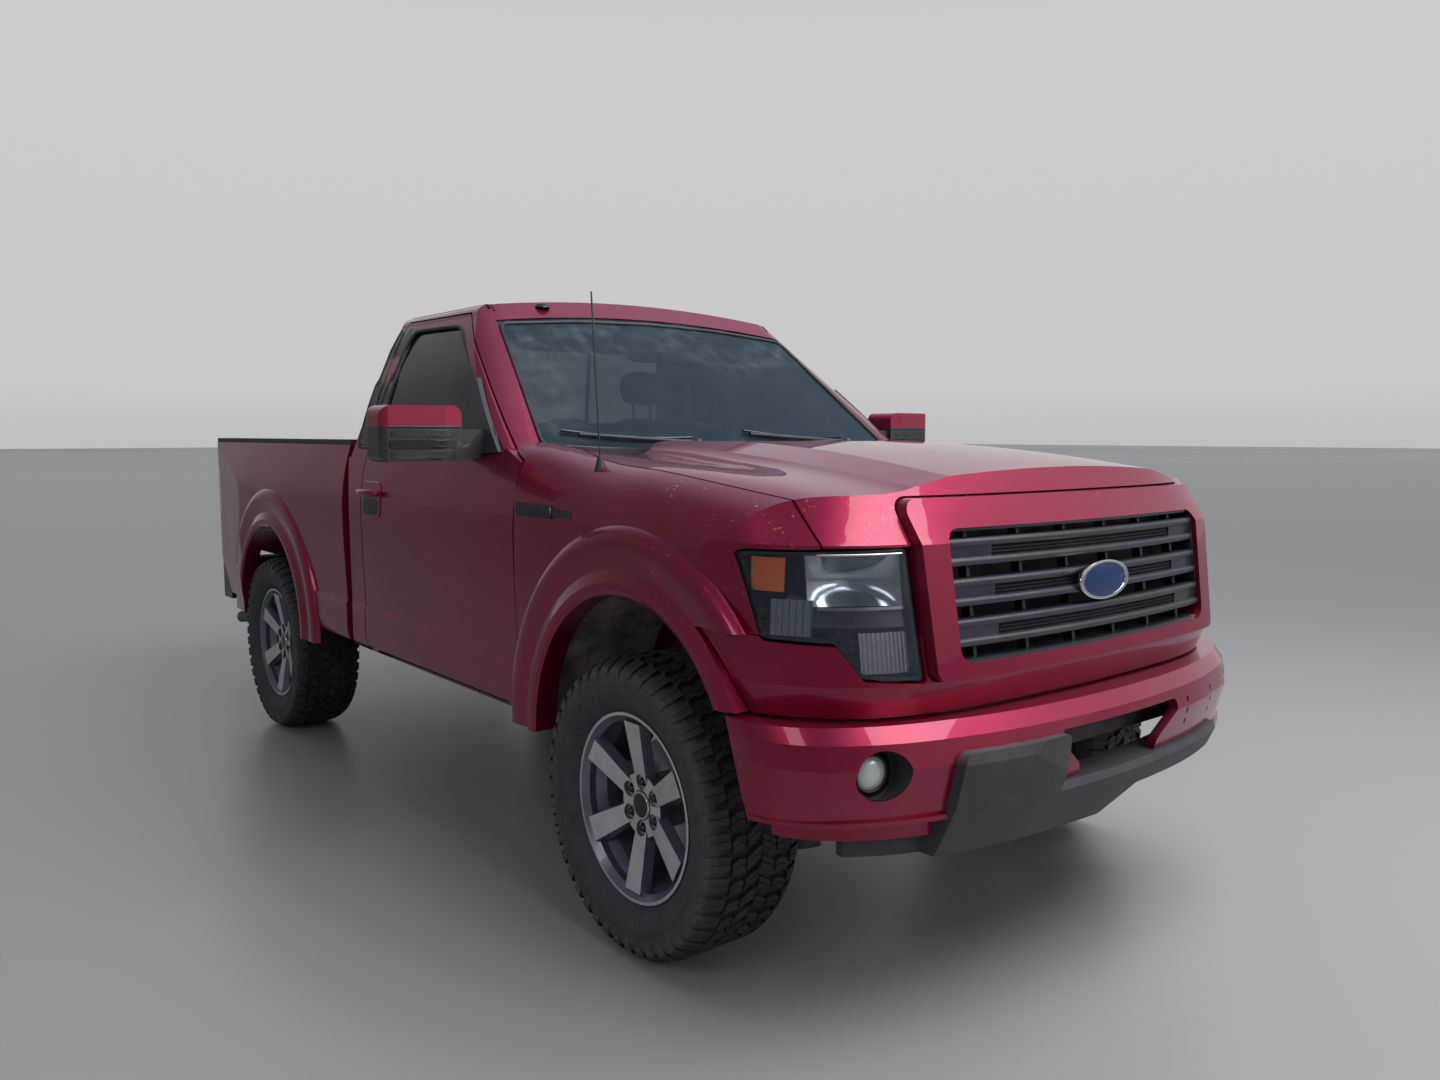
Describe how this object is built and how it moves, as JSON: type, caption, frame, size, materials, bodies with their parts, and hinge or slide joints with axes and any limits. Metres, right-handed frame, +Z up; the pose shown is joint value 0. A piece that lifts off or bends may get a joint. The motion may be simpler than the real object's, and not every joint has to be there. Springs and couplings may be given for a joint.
{
  "type": "pickup truck",
  "caption": "Full-size four-wheel-drive pickup with a regular cab, short load bed, opening doors, hood and tailgate, steered front wheels and rolling wheels.",
  "frame": {"origin": "under the middle of the bounding box, on the ground", "axes": "+Z up, +Y to the tail, +X to the driver's left"},
  "size_m": [2.62, 5.413, 2.02],
  "materials": {
    "paint": "gloss metallic",
    "glass": "dark tint",
    "lens": "clear",
    "lamp": "silvered",
    "tail_lamp": "gloss",
    "trim": "matte",
    "cabin": "matte",
    "seat": "woven",
    "wheel": "satin",
    "tyre": "matte",
    "frame": "satin",
    "casting": "rough",
    "alloy": "satin",
    "steel": "satin"
  },
  "bodies": {
    "chassis": {"cab": "paint", "cab_glass": "glass", "fenders": "paint", "headlamps": "lamp", "headlamp_lenses": "lens", "front_fascia": "paint", "front_bumper": "paint", "fog_lamps": "lamp", "air_dam": "trim", "bed_sides": "paint", "tail_lamps": "tail_lamp", "bed": "paint", "rail_caps": "trim", "rear_bumper": "paint", "frame": "frame", "hitch_receiver": "frame", "engine": "casting", "radiator": "alloy", "engine_bay": "paint", "drivetrain": "casting", "front_suspension": "frame", "rear_axle": "frame", "exhaust": "steel", "fuel_tank": "trim", "wheel_liners": "trim", "cowl": "trim", "wipers": "trim", "dashboard": "cabin", "steering_wheel": "cabin", "seat": "seat", "antenna": "trim"},
    "door_left": {"door_left": "paint", "door_glass_left": "glass", "mirror_left": "trim"},
    "door_right": {"door_right": "paint", "door_glass_right": "glass", "mirror_right": "trim"},
    "hood": {"hood": "paint", "grille_surround": "paint", "grille": "trim"},
    "tailgate": {"tailgate": "paint"},
    "knuckle_left": {"knuckle_left": "frame"},
    "knuckle_right": {"knuckle_right": "frame"},
    "wheel_front_left": {"wheel_front_left": "wheel", "tyre_front_left": "tyre"},
    "wheel_front_right": {"wheel_front_right": "wheel", "tyre_front_right": "tyre"},
    "wheel_rear_left": {"wheel_rear_left": "wheel", "tyre_rear_left": "tyre"},
    "wheel_rear_right": {"wheel_rear_right": "wheel", "tyre_rear_right": "tyre"}
  },
  "joints": [
    {"name": "door_left_hinge", "type": "hinge", "parent": "chassis", "child": "door_left", "pos_m": [0.99, -1.1225, 1], "axis": [0, 0, -1], "range_deg": [0, 65]},
    {"name": "door_right_hinge", "type": "hinge", "parent": "chassis", "child": "door_right", "pos_m": [-0.99, -1.1225, 1], "axis": [0, 0, 1], "range_deg": [0, 65]},
    {"name": "hood_hinge", "type": "hinge", "parent": "chassis", "child": "hood", "pos_m": [0, -1.1795, 1.478], "axis": [-1, 0, 0], "range_deg": [0, 45]},
    {"name": "tailgate_hinge", "type": "hinge", "parent": "chassis", "child": "tailgate", "pos_m": [0, 2.5385, 0.889], "axis": [-1, 0, 0], "range_deg": [0, 90]},
    {"name": "steer_left", "type": "hinge", "parent": "chassis", "child": "knuckle_left", "pos_m": [0.7129, -1.7595, 0.43], "axis": [-0.1678, 0, 0.9858], "range_deg": [-33, 33]},
    {"name": "steer_right", "type": "hinge", "parent": "chassis", "child": "knuckle_right", "pos_m": [-0.7129, -1.7595, 0.43], "axis": [0.1678, 0, 0.9858], "range_deg": [-33, 33]},
    {"name": "wheel_spin_front_left", "type": "hinge", "parent": "knuckle_left", "child": "wheel_front_left", "pos_m": [0.8, -1.7595, 0.43], "axis": [1, 0, 0], "continuous": true},
    {"name": "wheel_spin_front_right", "type": "hinge", "parent": "knuckle_right", "child": "wheel_front_right", "pos_m": [-0.8, -1.7595, 0.43], "axis": [1, 0, 0], "continuous": true},
    {"name": "wheel_spin_rear_left", "type": "hinge", "parent": "chassis", "child": "wheel_rear_left", "pos_m": [0.8, 1.4355, 0.43], "axis": [1, 0, 0], "continuous": true},
    {"name": "wheel_spin_rear_right", "type": "hinge", "parent": "chassis", "child": "wheel_rear_right", "pos_m": [-0.8, 1.4355, 0.43], "axis": [1, 0, 0], "continuous": true}
  ],
  "couplings": [
    {"joint": "steer_right", "follows": "steer_left", "ratio": 1}
  ]
}
